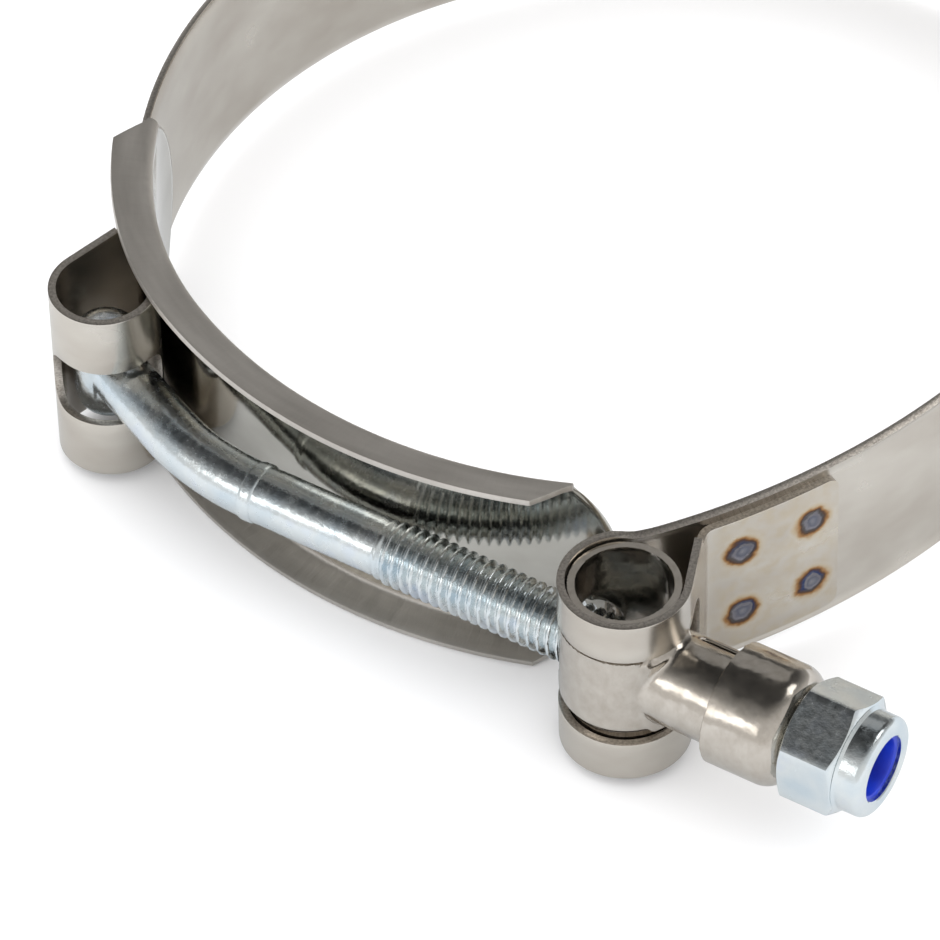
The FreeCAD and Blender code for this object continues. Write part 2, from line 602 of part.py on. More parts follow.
# The nylon insert, a ring in the collar.
ring = bound("Part::Cylinder", "InsertOutside", ALONG_BOLT, Radius="Sizes.insert_radius",
             Height="Sizes.insert_height", at_x=insert_x, at_y="Sizes.bolt_y")
insert_bore = bound("Part::Cylinder", "InsertBore", ALONG_BOLT, Radius="Sizes.insert_bore_radius",
                    Height="Sizes.insert_height", at_x=insert_x, at_y="Sizes.bolt_y")
cut("nylon_insert", ring, insert_bore)

doc.recompute()
for item in doc.Objects:
    faults = {"Invalid", "Error"} & set(item.State)
    if faults:
        raise RuntimeError("%s is %s" % (item.Label, sorted(faults)))
os.makedirs("parts", exist_ok=True)
for name in ("band", "tongue", "t_bolt", "t_piece", "ferrule", "lock_nut", "nylon_insert"):
    node = doc.getObject(name)
    if node.Shape.isNull() or not node.Shape.isValid() or len(node.Shape.Solids) != 1:
        raise RuntimeError("%s is not one valid solid" % name)
    node.Shape.exportStep("parts/%s.step" % name)
    box = node.Shape.BoundBox
    print("%-13s %9.1f mm3  X %.2f %.2f  Y %.2f %.2f  Z %.2f %.2f" % (
        name, node.Shape.Volume, box.XMin, box.XMax, box.YMin, box.YMax, box.ZMin, box.ZMax))
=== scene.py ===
import math

import bpy
from mathutils import Matrix, Vector, noise


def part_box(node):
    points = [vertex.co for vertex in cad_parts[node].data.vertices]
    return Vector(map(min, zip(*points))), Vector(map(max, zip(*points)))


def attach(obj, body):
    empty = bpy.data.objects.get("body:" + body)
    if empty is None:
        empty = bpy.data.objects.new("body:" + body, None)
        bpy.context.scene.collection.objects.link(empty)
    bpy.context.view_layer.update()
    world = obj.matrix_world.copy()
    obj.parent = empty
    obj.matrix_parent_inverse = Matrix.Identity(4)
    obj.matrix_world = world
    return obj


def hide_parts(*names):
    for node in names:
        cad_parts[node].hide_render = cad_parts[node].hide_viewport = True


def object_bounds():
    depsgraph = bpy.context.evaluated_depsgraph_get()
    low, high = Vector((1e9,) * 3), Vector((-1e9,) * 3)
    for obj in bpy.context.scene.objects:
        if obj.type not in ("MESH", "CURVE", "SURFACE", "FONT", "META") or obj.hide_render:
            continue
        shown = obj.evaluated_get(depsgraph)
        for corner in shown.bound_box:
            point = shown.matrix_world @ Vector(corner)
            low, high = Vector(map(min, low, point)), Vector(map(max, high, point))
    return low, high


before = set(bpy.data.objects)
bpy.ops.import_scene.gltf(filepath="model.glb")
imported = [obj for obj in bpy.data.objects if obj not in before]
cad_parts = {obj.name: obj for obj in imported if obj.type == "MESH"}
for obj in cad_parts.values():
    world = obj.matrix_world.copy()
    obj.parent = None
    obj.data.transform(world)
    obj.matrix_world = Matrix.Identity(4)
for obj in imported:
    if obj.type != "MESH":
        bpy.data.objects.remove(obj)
cadLow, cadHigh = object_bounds()

# Lengths are in millimetres up to newPiece, which makes metres of them.
mm = 0.001
upward = Vector((0, 0, 1))


def compass(angle, length=1.0):
    turn = math.radians(angle)
    return Vector((length * math.cos(turn), length * math.sin(turn), 0))


def turned(vector, angle):
    return Matrix.Rotation(math.radians(angle), 3, "Z") @ vector


def newPiece(name, points, faces, body, node, uvs, materials, faceMaterials=None):
    mesh = bpy.data.meshes.new(name)
    mesh.from_pydata([tuple(p * mm) for p in points], [], faces)
    layer = mesh.uv_layers.new(name="millimetres")
    for loop in mesh.loops:
        layer.data[loop.index].uv = uvs[loop.vertex_index]
    for material in materials:
        mesh.materials.append(material)
    if faceMaterials:
        mesh.polygons.foreach_set("material_index", faceMaterials)
    piece = bpy.data.objects.new(name, mesh)
    bpy.context.scene.collection.objects.link(piece)
    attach(piece, body)
    if node:
        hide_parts(node)
    return piece


def addModifier(piece, kind, **settings):
    modifier = piece.modifiers.new(kind.title(), kind)
    for name, value in settings.items():
        setattr(modifier, name, value)


def bakeShape(piece, sharpAngle):
    # modifiers become plain mesh, with hard edges only at real corners
    graph = bpy.context.evaluated_depsgraph_get()
    graph.update()
    done = bpy.data.meshes.new_from_object(piece.evaluated_get(graph))
    piece.modifiers.clear()
    piece.data = done
    done.shade_smooth()
    done.set_sharp_from_angle(angle=math.radians(sharpAngle))
    print("shaped", piece.name, len(done.polygons), "faces")


def thickenSheet(piece, sizes, **settings):
    # the sheet grows back from the drawn face, and its cut edges are slightly rounded
    addModifier(piece, "SOLIDIFY", thickness=sizes["thickness"] * mm, offset=-1.0, **settings)
    addModifier(piece, "BEVEL", width=sizes["edgeRound"] * mm, segments=2, limit_method="ANGLE",
                angle_limit=math.radians(50), harden_normals=False)
    bakeShape(piece, 40)


def gridFaces(columns, rows, closed=False, skip=None):
    # quads between columns of points; closed joins the last row to the first
    faces = []
    for column in range(columns - 1):
        for row in range(rows if closed else rows - 1):
            if skip and skip(column, row):
                continue
            following = (row + 1) % rows
            near, far = column * rows, (column + 1) * rows
            faces.append((near + row, far + row, far + following, near + following))
    return faces


# A path is a list of moves. A move is a straight run or a bend, to the left where its turn is positive.
def layPath(point, heading, side, moves):
    path = {"outerSide": side, "legs": [], "marks": {}, "named": {}}
    travelled = 0.0
    for name, radius, amount in moves:
        length = amount if radius is None else radius * math.radians(abs(amount))
        leg = {"from": travelled, "to": travelled + length, "point": point, "heading": heading}
        if radius is None:
            point = point + compass(heading, length)
        else:
            leg["centre"] = point + compass(heading + math.copysign(90, amount), radius)
            leg["turn"] = amount
            point = leg["centre"] + turned(point - leg["centre"], amount)
            heading += amount
        path["legs"].append(leg)
        path["marks"][name] = (travelled, travelled + length)
        path["named"][name] = leg
        travelled += length
    path["end"] = (point, heading)
    path["length"] = travelled
    return path


def alongPath(path, travelled):
    # the place on the strip's hose side, and the way outwards from the hose
    leg = path["legs"][-1]
    for candidate in path["legs"]:
        if travelled <= candidate["to"]:
            leg = candidate
            break
    if "centre" in leg:
        share = (travelled - leg["from"]) / (leg["to"] - leg["from"])
        turn = leg["turn"] * share
        point = leg["centre"] + turned(leg["point"] - leg["centre"], turn)
        heading = leg["heading"] + turn
    else:
        point = leg["point"] + compass(leg["heading"], travelled - leg["from"])
        heading = leg["heading"]
    return point, compass(heading - 90 * path["outerSide"])


def backToRing(point, heading, side, centre, radius, bendRadius):
    # straight run and turn that bring a strand from its loop onto the ring's outer face
    ahead = compass(heading)
    start = point + compass(heading + 90 * side, bendRadius) - centre
    along = start.dot(ahead)
    length = -along - math.sqrt(along * along - start.dot(start) + (radius + bendRadius) ** 2)
    middle = start + ahead * length
    endHeading = math.degrees(math.atan2(middle.y, middle.x)) - 90 * side
    return length, ((endHeading - heading) * side % 360) * side


# Stainless strip, cold rolled: the band
bandSizes = {
    "ringRadius": 44.8, "thickness": 0.7, "halfWidth": 9.5, "narrowing": 0.2,
    "lipWidth": 1.35, "lipRise": 0.35, "lipCurve": 1.7, "footShare": 0.4, "shoulderAngle": 142.3,
    "backTurn": 76.4, "leftLead": 9.4, "farRadius": 67.0, "farTurn": 27.4,
    "topRadius": 33.1, "topTurn": 84.3, "sideRadius": 52.6, "sideTurn": 27.9,
    "flatRadius": 72.5, "flatTurn": 40.0, "leadBendRadius": 16.0, "leadBendTurn": 7.7, "rightLead": 2.5,
    "leftLoopRadius": 4.2, "leftLoopTurn": 234.0, "rightLoopRadius": 5.15, "rightLoopTurn": 247.0,
    "tabBendRadius": 1.3, "tabLength": 12.6, "tabHalfWidth": 7.9, "tabCorner": 1.2,
    "leftSlotStart": 15.0, "leftSlotTurn": 165.0, "leftSlotCorner": 3.0, "leftSlotHalf": 3.25,
    "rightSlotStart": 4.0, "rightSlotStrand": 4.2, "rightSlotCorner": 2.5, "rightSlotHalf": 5.25,
    "edgeRound": 0.1, "weldPitchAlong": 7.1, "weldPitchAcross": 7.6,
    "ringStep": 1.2, "loopStep": 0.45, "rowsInSlot": 5, "rowsBeside": 3, "rowsOnLip": 7,
}


def bandHalfPath(sizes, left):
    thick = sizes["thickness"]
    shoulder = compass(sizes["shoulderAngle"], sizes["ringRadius"])
    if left:
        side, loopTurn, ring = 1, -sizes["leftLoopTurn"], "back"
        loopRadius = sizes["leftLoopRadius"] + thick
        ringInside = sizes["ringRadius"]
        moves = [("back", ringInside, sizes["backTurn"]), ("lead", None, sizes["leftLead"])]
    else:
        side, loopTurn, ring = -1, sizes["rightLoopTurn"], "flat"
        loopRadius = sizes["rightLoopRadius"] + thick
        ringInside = sizes["flatRadius"]
        moves = [(name, sizes[name + "Radius"], -sizes[name + "Turn"])
                 for name in ("far", "top", "side", "flat", "leadBend")]
        moves.append(("lead", None, sizes["rightLead"]))
    moves.append(("loop", loopRadius, loopTurn))
    path = layPath(shoulder, sizes["shoulderAngle"] + 90 * side, side, moves)
    reach = ringInside + 2 * thick
    point, heading = path["end"]
    ringCentre = path["named"][ring]["centre"]
    length, turn = backToRing(point, heading, side, ringCentre, reach, sizes["tabBendRadius"])
    moves += [("strand", None, length), ("tabBend", sizes["tabBendRadius"], turn),
              ("tab", reach, -side * math.degrees(sizes["tabLength"] / reach))]
    return layPath(shoulder, sizes["shoulderAngle"] + 90 * side, side, moves)


def bandHalfColumns(sizes, left):
    # for each station of the half: place, outward way, half width, slot half height, lip and slot
    path = bandHalfPath(sizes, left)
    marks = path["marks"]
    key = "left" if left else "right"
    corner, slotHalf = sizes[key + "SlotCorner"], sizes[key + "SlotHalf"]
    loopRadius = sizes[key + "LoopRadius"] + sizes["thickness"]
    slotStart = marks["loop"][0] + loopRadius * math.radians(sizes[key + "SlotStart"])
    if left:
        slotEnd = slotStart + loopRadius * math.radians(sizes["leftSlotTurn"])
    else:
        slotEnd = marks["strand"][0] + sizes["rightSlotStrand"]
    notch = sizes["halfWidth"] - sizes["tabHalfWidth"]
    strandEnd, tabEnd = marks["strand"][1], marks["tab"][1]
    stops = {slotStart, slotEnd, strandEnd, tabEnd}
    for name, (begin, end) in marks.items():
        step = sizes["ringStep"] if name in ("back", "far", "top", "side", "flat") else sizes["loopStep"]
        count = max(2, math.ceil((end - begin) / step))
        stops.update(begin + (end - begin) * k / count for k in range(count + 1))
    # more stations where a rounded corner turns
    for k in (0.02, 0.08, 0.2, 0.4, 0.65, 0.85, 1.0):
        stops.update((slotStart + corner * k, slotEnd - corner * k))
        stops.update((strandEnd - notch * k, tabEnd - sizes["tabCorner"] * k))
    ordered = []
    for stop in sorted(stops):
        if not ordered or stop - ordered[-1] > 1e-4:
            ordered.append(stop)

    columns = []
    leadStart, leadEnd = marks["lead"]
    for travelled in ordered:
        point, out = alongPath(path, travelled)
        fade = 1 - min(1, max(0, (travelled - leadStart) / (leadEnd - leadStart)))
        lip = fade * fade * (3 - 2 * fade)
        half = sizes["halfWidth"] - sizes["narrowing"] * lip
        if travelled > strandEnd - notch:
            lead = min(0, travelled - strandEnd)
            half = sizes["halfWidth"] - math.sqrt(max(0, notch * notch - lead * lead))
        if travelled > tabEnd - sizes["tabCorner"]:
            past = travelled - (tabEnd - sizes["tabCorner"])
            rounded = math.sqrt(max(0, sizes["tabCorner"] ** 2 - past * past))
            half = sizes["tabHalfWidth"] - sizes["tabCorner"] + rounded
        slot = slotHalf - corner
        within = min(travelled - slotStart, slotEnd - travelled)
        if within > 0:
            bite = corner - min(corner, within)
            slot += math.sqrt(max(0, corner * corner - bite * bite))
        columns.append({"at": travelled, "point": point, "out": out, "half": half, "slot": slot,
                        "lip": lip, "open": slotStart - 1e-5 < travelled < slotEnd + 1e-5})
    return columns


def bandRows(sizes, column):
    # heights across the strip and how far each stands out at the rolled edges
    half, slot = column["half"], column["slot"]
    inSlot, beside, onLip = sizes["rowsInSlot"], sizes["rowsBeside"], sizes["rowsOnLip"]
    foot = max(half - sizes["lipWidth"], slot + sizes["footShare"] * (half - slot))
    above = [slot * (k / inSlot) for k in range(inSlot)]
    above += [slot + (foot - slot) * k / beside for k in range(beside)]
    above += [foot + (half - foot) * k / onLip for k in range(onLip + 1)]
    heights = [-z for z in reversed(above[1:])] + above
    shifts = []
    for z in heights:
        share = max(0, (abs(z) - foot) / max(1e-6, half - foot))
        shifts.append(column["lip"] * sizes["lipRise"] * share ** sizes["lipCurve"])
    return heights, shifts


def buildBand(sizes, faceMaterial, edgeMaterial):
    leftColumns = bandHalfColumns(sizes, True)
    rightColumns = bandHalfColumns(sizes, False)
    for column in leftColumns:
        column["at"] *= -1
    columns = leftColumns[::-1] + rightColumns[1:]
    points, uvs = [], []
    for column in columns:
        heights, shifts = bandRows(sizes, column)
        for z, shift in zip(heights, shifts):
            points.append(column["point"] + column["out"] * shift + upward * z)
            uvs.append((column["at"], z))
    slotFrom = sizes["rowsBeside"] + sizes["rowsOnLip"]
    slotRows = range(slotFrom, slotFrom + 2 * sizes["rowsInSlot"])

    def inSlot(column, row):
        return columns[column]["open"] and columns[column + 1]["open"] and row in slotRows

    faces = gridFaces(len(columns), len(heights), skip=inSlot)
    materials = [faceMaterial, edgeMaterial]
    band = newPiece("strapBand", points, faces, "root", "band", uvs, materials)
    thickenSheet(band, sizes, use_even_offset=False, material_offset_rim=1)


# Node materials
def hexColour(code):
    # sRGB hex to the linear colour that a shader takes
    channels = [int(code[k:k + 2], 16) / 255 for k in (1, 3, 5)]
    return tuple(c / 12.92 if c <= 0.04045 else ((c + 0.055) / 1.055) ** 2.4 for c in channels) + (1.0,)


def feed(tree, node, inputs):
    # an input takes a value, a hex colour, another node's output, or a node for the output it uses
    for place, value in inputs.items():
        if isinstance(value, bpy.types.Node):
            value = next(output for output in value.outputs if output.enabled)
        if isinstance(value, bpy.types.NodeSocket):
            tree.links.new(value, node.inputs[place])
        else:
            node.inputs[place].default_value = hexColour(value) if isinstance(value, str) else value


def addNode(tree, kind, inputs, stops=(), **settings):
    # stops are a colour ramp's places, each with a hex colour or a grey
    node = tree.nodes.new("ShaderNode" + kind)
    for name, value in settings.items():
        setattr(node, name, value)
    feed(tree, node, inputs)
    if stops:
        elements = node.color_ramp.elements
        while len(elements) < len(stops):
            elements.new(0.5)
        for element, (place, colour) in zip(elements, stops):
            element.position = place
            element.color = hexColour(colour) if isinstance(colour, str) else (colour, colour, colour, 1)
    return node


def newMaterial(name, inputs):
    material = bpy.data.materials.new(name)
    material.use_nodes = True
    tree = material.node_tree
    shader = tree.nodes["Principled BSDF"]
    feed(tree, shader, inputs)
    return material, tree, shader


def millimetrePattern(tree, scale, detail=3.0, roughness=0.5, layer="UV"):
    # noise by the millimetre: the strips' layout counts in millimetres, an object's own places in metres
    spots = addNode(tree, "TexCoord", {}).outputs[layer]
    stretched = addNode(tree, "Mapping", {"Vector": spots, "Scale": scale})
    unit = 1.0 if layer == "UV" else 1 / mm
    return addNode(tree, "TexNoise", {"Vector": stretched, "Scale": unit, "Detail": detail,
                                      "Roughness": roughness})


# Heat stains of the spot welds: how far they reach and wander, in millimetres
weldLook = {"reach": 3.5, "middle": 0.45, "wander": 1.1, "tabReach": 12.0}


def stripSteel(leftTab, rightTab, sizes, look):
    # Cold-rolled stainless strip: a soft sheen with fine lines along the roll, and straw, brown and
    # blue rings where the spot welds heated it.
    material, tree, shader = newMaterial("cold rolled stainless strip", {"Metallic": 1.0})
    grain = millimetrePattern(tree, (0.05, 9.0, 1.0), 4.0, 0.6)
    cloud = millimetrePattern(tree, (0.09, 0.16, 1.0), 3.0, 0.55)
    speck = millimetrePattern(tree, (1.1, 2.6, 1.0), 5.0, 0.7)
    wobble = millimetrePattern(tree, (0.7, 0.7, 1.0), 2.0, 0.5)
    hue = millimetrePattern(tree, (0.13, 0.21, 1.0), 1.0, 0.5)

    # the strip is folded onto one quarter of a tab: how far a point is from its middle, along and across
    apart = ((rightTab - leftTab) / 2, 0, 0)
    tabs = ((rightTab + leftTab) / 2, 0, 0)
    weld = (sizes["weldPitchAlong"] / 2, sizes["weldPitchAcross"] / 2, 0)
    spot = addNode(tree, "TexCoord", {}).outputs["UV"]
    for middle in (apart, tabs):
        spot = addNode(tree, "VectorMath", {0: spot, 1: middle}, operation="SUBTRACT")
        spot = addNode(tree, "VectorMath", {0: spot}, operation="ABSOLUTE")
    fromTab = addNode(tree, "SeparateXYZ", {"Vector": spot})
    fromWeld = addNode(tree, "VectorMath", {0: spot, 1: weld}, operation="DISTANCE")
    # share runs from a weld's centre outwards, and wanders so that no ring is round
    wander = addNode(tree, "Math", {0: wobble, 1: look["middle"]}, operation="SUBTRACT")
    away = addNode(tree, "Math", {0: wander, 1: look["wander"], 2: fromWeld}, operation="MULTIPLY_ADD")
    share = addNode(tree, "Math", {0: away, 1: look["reach"]}, operation="DIVIDE")
    onTab = addNode(tree, "Math", {0: fromTab, 1: look["tabReach"]}, operation="DIVIDE")

    blue = addNode(tree, "ValToRGB", {"Fac": hue}, [(0.42, "#2c3c66"), (0.52, "#55504f")])
    nugget = addNode(tree, "ValToRGB", {"Fac": share}, [(0.0, "#8d8c91"), (0.16, "#686a76"),
                                                        (0.26, "#7d7a80")])
    brown = addNode(tree, "ValToRGB", {"Fac": share}, [(0.4, "#5d4434"), (0.46, "#a67a4e"), (0.54, "#c8b596"),
                                                       (0.66, "#d2c8b8")])
    pastNugget = addNode(tree, "ValToRGB", {"Fac": share}, [(0.27, 0.0), (0.32, 1.0)])
    pastBlue = addNode(tree, "ValToRGB", {"Fac": share}, [(0.34, 0.0), (0.4, 1.0)])
    onWeld = addNode(tree, "ValToRGB", {"Fac": share}, [(0.5, 1.0), (0.72, 0.0)])
    burnt = addNode(tree, "Mix", {0: pastNugget, 6: nugget, 7: blue}, data_type="RGBA")
    burnt = addNode(tree, "Mix", {0: pastBlue, 6: burnt, 7: brown}, data_type="RGBA")

    steel = addNode(tree, "ValToRGB", {"Fac": cloud}, [(0.3, "#c0b8ad"), (0.7, "#d6d0c6")])
    specks = addNode(tree, "ValToRGB", {"Fac": speck}, [(0.62, 0.0), (0.72, 0.2)])
    heated = addNode(tree, "ValToRGB", {"Fac": onTab}, [(0.45, 0.4), (0.7, 0.0)])
    patchy = addNode(tree, "ValToRGB", {"Fac": wobble}, [(0.35, 0.1), (0.65, 1.0)])
    straw = addNode(tree, "Math", {0: heated, 1: patchy}, operation="MULTIPLY")
    for amount, tint in ((specks, "#9a8f84"), (straw, "#c3b18f"), (onWeld, burnt)):
        steel = addNode(tree, "Mix", {0: amount, 6: steel, 7: tint}, data_type="RGBA")

    lines = addNode(tree, "Bump", {"Height": grain, "Distance": 0.002 * mm, "Strength": 0.1})
    dent = addNode(tree, "ValToRGB", {"Fac": share}, [(0.1, 0.2), (0.2, 0.0), (0.36, 1.0)])
    feed(tree, shader, {
        "Base Color": steel,
        "Roughness": addNode(tree, "ValToRGB", {"Fac": cloud}, [(0.3, 0.22), (0.7, 0.28)]),
        "Normal": addNode(tree, "Bump", {"Height": dent, "Distance": 0.14 * mm, "Strength": 0.9,
                                         "Normal": lines})})
    return material


def patternedMetal(name, tone, colours, polish, roughness, relief, depth, strength):
    # metal whose colour follows the tone pattern, its roughness polish, and its height relief
    material, tree, shader = newMaterial(name, {"Metallic": 1.0})
    made = {}
    for pattern in (tone, polish, relief):
        if pattern not in made:
            made[pattern] = millimetrePattern(tree, *pattern)
    feed(tree, shader, {
        "Base Color": addNode(tree, "ValToRGB", {"Fac": made[tone]}, colours),
        "Roughness": addNode(tree, "ValToRGB", {"Fac": made[polish]}, roughness),
        "Normal": addNode(tree, "Bump", {"Height": made[relief], "Distance": depth * mm,
                                         "Strength": strength})})
    return material


def shearedEdge():
    # The strip's cut edges: half sheared, half torn, so dull and darker than the faces.
    torn = ((4.0, 4.0, 8.0), 4.0, 0.6, "Object")
    return patternedMetal("sheared strip edge", torn, [(0.35, "#9a938b"), (0.6, "#c2bbb2")],
                          torn, [(0.4, 0.42), (0.65, 0.28)], torn, 0.03, 0.7)


def polishedSteel():
    # Bright stainless sheet, polished: it mirrors the bolt, with only a trace of drawing lines.
    cloud = ((0.12, 0.2, 1.0),)
    lines = ((0.02, 3.0, 1.0), 3.0, 0.5)
    return patternedMetal("polished stainless sheet", cloud, [(0.3, "#b7b4ab"), (0.7, "#cfccc4")],
                          cloud, [(0.3, 0.06), (0.7, 0.13)], lines, 0.004, 0.25)


def creasedSteel():
    # The same sheet where the die turned the flanges: satin, with fine creases across the flange.
    cloud = ((0.1, 0.5, 1.0),)
    crease = ((1.6, 0.22, 1.0), 3.0, 0.65)
    return patternedMetal("stretched stainless flange", cloud, [(0.3, "#bbb6af"), (0.7, "#d2cdc6")],
                          crease, [(0.3, 0.48), (0.7, 0.62)], crease, 0.12, 0.6)


def zincPlate(name, spread):
    # Zinc plate with a clear blue passivate: cool white highlights over a slightly uneven forging.
    cloud = ((0.25, 0.25, 0.25), 3.0, 0.5, "Object")
    lumps = ((1.5, 1.5, 1.5), 4.0, 0.6, "Object")
    return patternedMetal(name, cloud, [(0.3, "#c9d4da"), (0.55, "#dbe0e0"), (0.75, "#cfd8e4")],
                          lumps, [(0.3, 0.12), (0.7, 0.12 + spread)], lumps, 0.05, 0.35 + 2 * spread)


def brightSheet():
    # Bright formed stainless sheet, tumbled: warm, almost mirror, softly rippled by the forming.
    scuff = ((0.9, 0.9, 0.6), 5.0, 0.6, "Object")
    ripple = ((0.3, 0.3, 0.3), 2.5, 0.45, "Object")
    return patternedMetal("tumbled bright stainless", scuff, [(0.3, "#b9b1a6"), (0.7, "#cbc4ba")],
                          scuff, [(0.35, 0.22), (0.65, 0.13)], ripple, 0.3, 0.6)


def blueNylon():
    # Moulded nylon 6.6, dyed blue: dense colour, a waxy gloss and a little light inside.
    material, tree, shader = newMaterial("moulded blue nylon", {
        "Roughness": 0.38, "IOR": 1.53, "Subsurface Weight": 0.15, "Subsurface Radius": (0.2, 0.3, 1.0),
        "Subsurface Scale": 0.4 * mm})
    cloud = millimetrePattern(tree, (0.6, 0.6, 0.6), 2.0, 0.5, "Object")
    feed(tree, shader, {
        "Base Color": addNode(tree, "ValToRGB", {"Fac": cloud}, [(0.3, "#06209a"), (0.7, "#0c31b8")]),
        "Normal": addNode(tree, "Bump", {"Height": cloud, "Distance": 0.03 * mm, "Strength": 0.4})})
    return material


# Bridging tongue: a polished channel with satin flanges
tongueSizes = {
    "thickness": 0.6, "innerRoot": 9.45, "reach": 3.2, "flare": 0.5, "insideBend": 0.4,
    "overlapStart": 155.5, "overlapTurn": 12.5, "stepRadius": 33.5, "stepTurn": 25.0,
    "underRadius": 46.0, "underTurn": 51.4, "tipRise": 4.0, "slant": 45.0, "edgeRound": 0.08,
    "stations": 110, "flangeRows": 6, "bendRows": 6, "webRows": 10,
}


def tongueSection(sizes):
    # convex side of the channel, from the upper flange's tip to the lower one's
    thick = sizes["thickness"]
    lean = math.atan2(sizes["flare"], sizes["reach"])
    outerRoot = sizes["innerRoot"] + thick * (math.cos(lean) - (1 - math.sin(lean)) * math.tan(lean))
    crest = Vector((thick + sizes["reach"] - thick * math.sin(lean),
                    sizes["innerRoot"] + sizes["flare"] + thick * math.cos(lean)))
    radius = sizes["insideBend"] + thick
    setback = radius / math.tan((math.pi / 2 + lean) / 2)
    foot = Vector((setback * math.cos(lean), outerRoot + setback * math.sin(lean)))
    middleZ = outerRoot - setback
    upper = []
    for k in range(sizes["flangeRows"]):
        spot = crest.lerp(foot, k / sizes["flangeRows"])
        upper.append((spot.x, spot.y, "flange"))
    for k in range(sizes["bendRows"] + 1):
        turn = (math.pi / 2 - lean) * (1 - k / sizes["bendRows"])
        upper.append((radius * (1 - math.cos(turn)), middleZ + radius * math.sin(turn), "bend"))
    for k in range(1, sizes["webRows"] + 1):
        upper.append((0.0, middleZ * (1 - k / sizes["webRows"]), "web"))
    return upper + [(n, -z, part) for n, z, part in reversed(upper[:-1])]


def buildTongue(sizes, webMaterial, flangeMaterial):
    inside = bandSizes["ringRadius"] - sizes["thickness"]
    rise = sizes["tipRise"]
    startTip = math.degrees(rise / inside)
    endTip = math.degrees(rise / sizes["underRadius"])
    angle = -sizes["overlapStart"] - startTip
    path = layPath(compass(angle, inside), angle + 90, 1, [
        ("seat", inside, sizes["overlapTurn"] + startTip), ("step", sizes["stepRadius"], sizes["stepTurn"]),
        ("under", sizes["underRadius"], sizes["underTurn"] + endTip)])
    section = tongueSection(sizes)
    webHalf = sizes["innerRoot"] - sizes["insideBend"]
    archRadius = (webHalf ** 2 + rise ** 2) / (2 * rise)
    slant = math.tan(math.radians(sizes["slant"]))
    measured = [0.0]
    for (n0, z0, _), (n1, z1, _) in zip(section, section[1:]):
        measured.append(measured[-1] + math.hypot(n1 - n0, z1 - z0))
    points, uvs = [], []
    for station in range(sizes["stations"] + 1):
        for (n, z, part), across in zip(section, measured):
            # the web ends in an arch, and the flanges are cut back on a slant
            setBack = rise
            if part == "flange":
                setBack = rise + max(0, n - sizes["thickness"]) * slant
            elif abs(z) < webHalf:
                setBack = archRadius - math.sqrt(archRadius ** 2 - z * z)
            travelled = setBack + (path["length"] - 2 * setBack) * (station / sizes["stations"])
            point, out = alongPath(path, travelled)
            points.append(point + out * n + upward * z)
            uvs.append((travelled, across - measured[-1] / 2))
    faces = gridFaces(sizes["stations"] + 1, len(section))
    # a strip of faces that touches the web is polished, the others are satin
    kinds = [0 if "web" in (first[2], second[2]) else 1 for first, second in zip(section, section[1:])]
    tongue = newPiece("bridgeTongue", points, faces, "root", "tongue", uvs,
                      [webMaterial, flangeMaterial], kinds * sizes["stations"])
    thickenSheet(tongue, sizes)


def turnedPiece(name, profile, base, axis, around, body, material, node=None):
    # a solid of revolution; each profile pair is radius and place along the axis
    first = axis.orthogonal().normalized()
    second = axis.cross(first)
    points, uvs, faces, rings = [], [], [], []
    for radius, place in profile:
        count = around if radius > 1e-6 else 1
        rings.append([len(points) + k for k in range(count)])
        for k in range(count):
            angle = 2 * math.pi * k / around
            way = first * math.cos(angle) + second * math.sin(angle)
            points.append(base + axis * place + way * radius)
            uvs.append((angle * radius, place))
    if len(rings[0]) > 1:
        # a hollow profile closes on itself
        rings.append(rings[0])
    for lower, higher in zip(rings, rings[1:]):
        for k in range(around):
            after = (k + 1) % around
            if len(lower) == 1:
                faces.append((lower[0], higher[after], higher[k]))
            elif len(higher) == 1:
                faces.append((lower[k], lower[after], higher[0]))
            else:
                faces.append((lower[k], lower[after], higher[after], higher[k]))
    return newPiece(name, points, faces, body, node, uvs, [material])


# Forged T-bolt with a rolled thread
boltSizes = {
    "headRadius": 3.1, "headSetback": 4.5, "headDome": 2.0, "domeSteps": 8, "headAround": 56,
    "shankRadius": 2.65, "leg": 9.9, "bendRadius": 27.0, "around": 72, "step": 0.45,
    "collarRise": 0.16, "collarWidth": 1.3,
    "lump": 0.05, "lumpScale": 0.35, "pit": 0.015, "pitScale": 5, "calmLength": 4.0,
    "threadStart": 13.0, "pitch": 1.0, "perPitch": 12, "crest": 2.94, "root": 2.36,
    "rootFlat": 0.14, "flank": 0.7, "flankRound": 0.35, "runOut": 1.6,
    "endChamfer": 0.7, "endDrop": 0.25, "endSlope": 1.2,
}


def boltPlan(leftCentre, rightCentre, sizes):
    # the leg leans so that the bend brings the straight through the T-piece's centre
    leg, bend = sizes["leg"], sizes["bendRadius"]
    drop = leftCentre.y - rightCentre.y
    turn = math.degrees(math.atan2(bend, leg) + math.asin((drop - bend) / math.hypot(leg, bend)))
    moves = [("leg", None, leg), ("bend", bend, turn)]
    bendEnd = layPath(leftCentre, -turn, 1, moves)["end"][0]
    moves.append(("straight", None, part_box("t_bolt")[1].x / mm - bendEnd.x))
    return layPath(leftCentre, -turn, 1, moves)


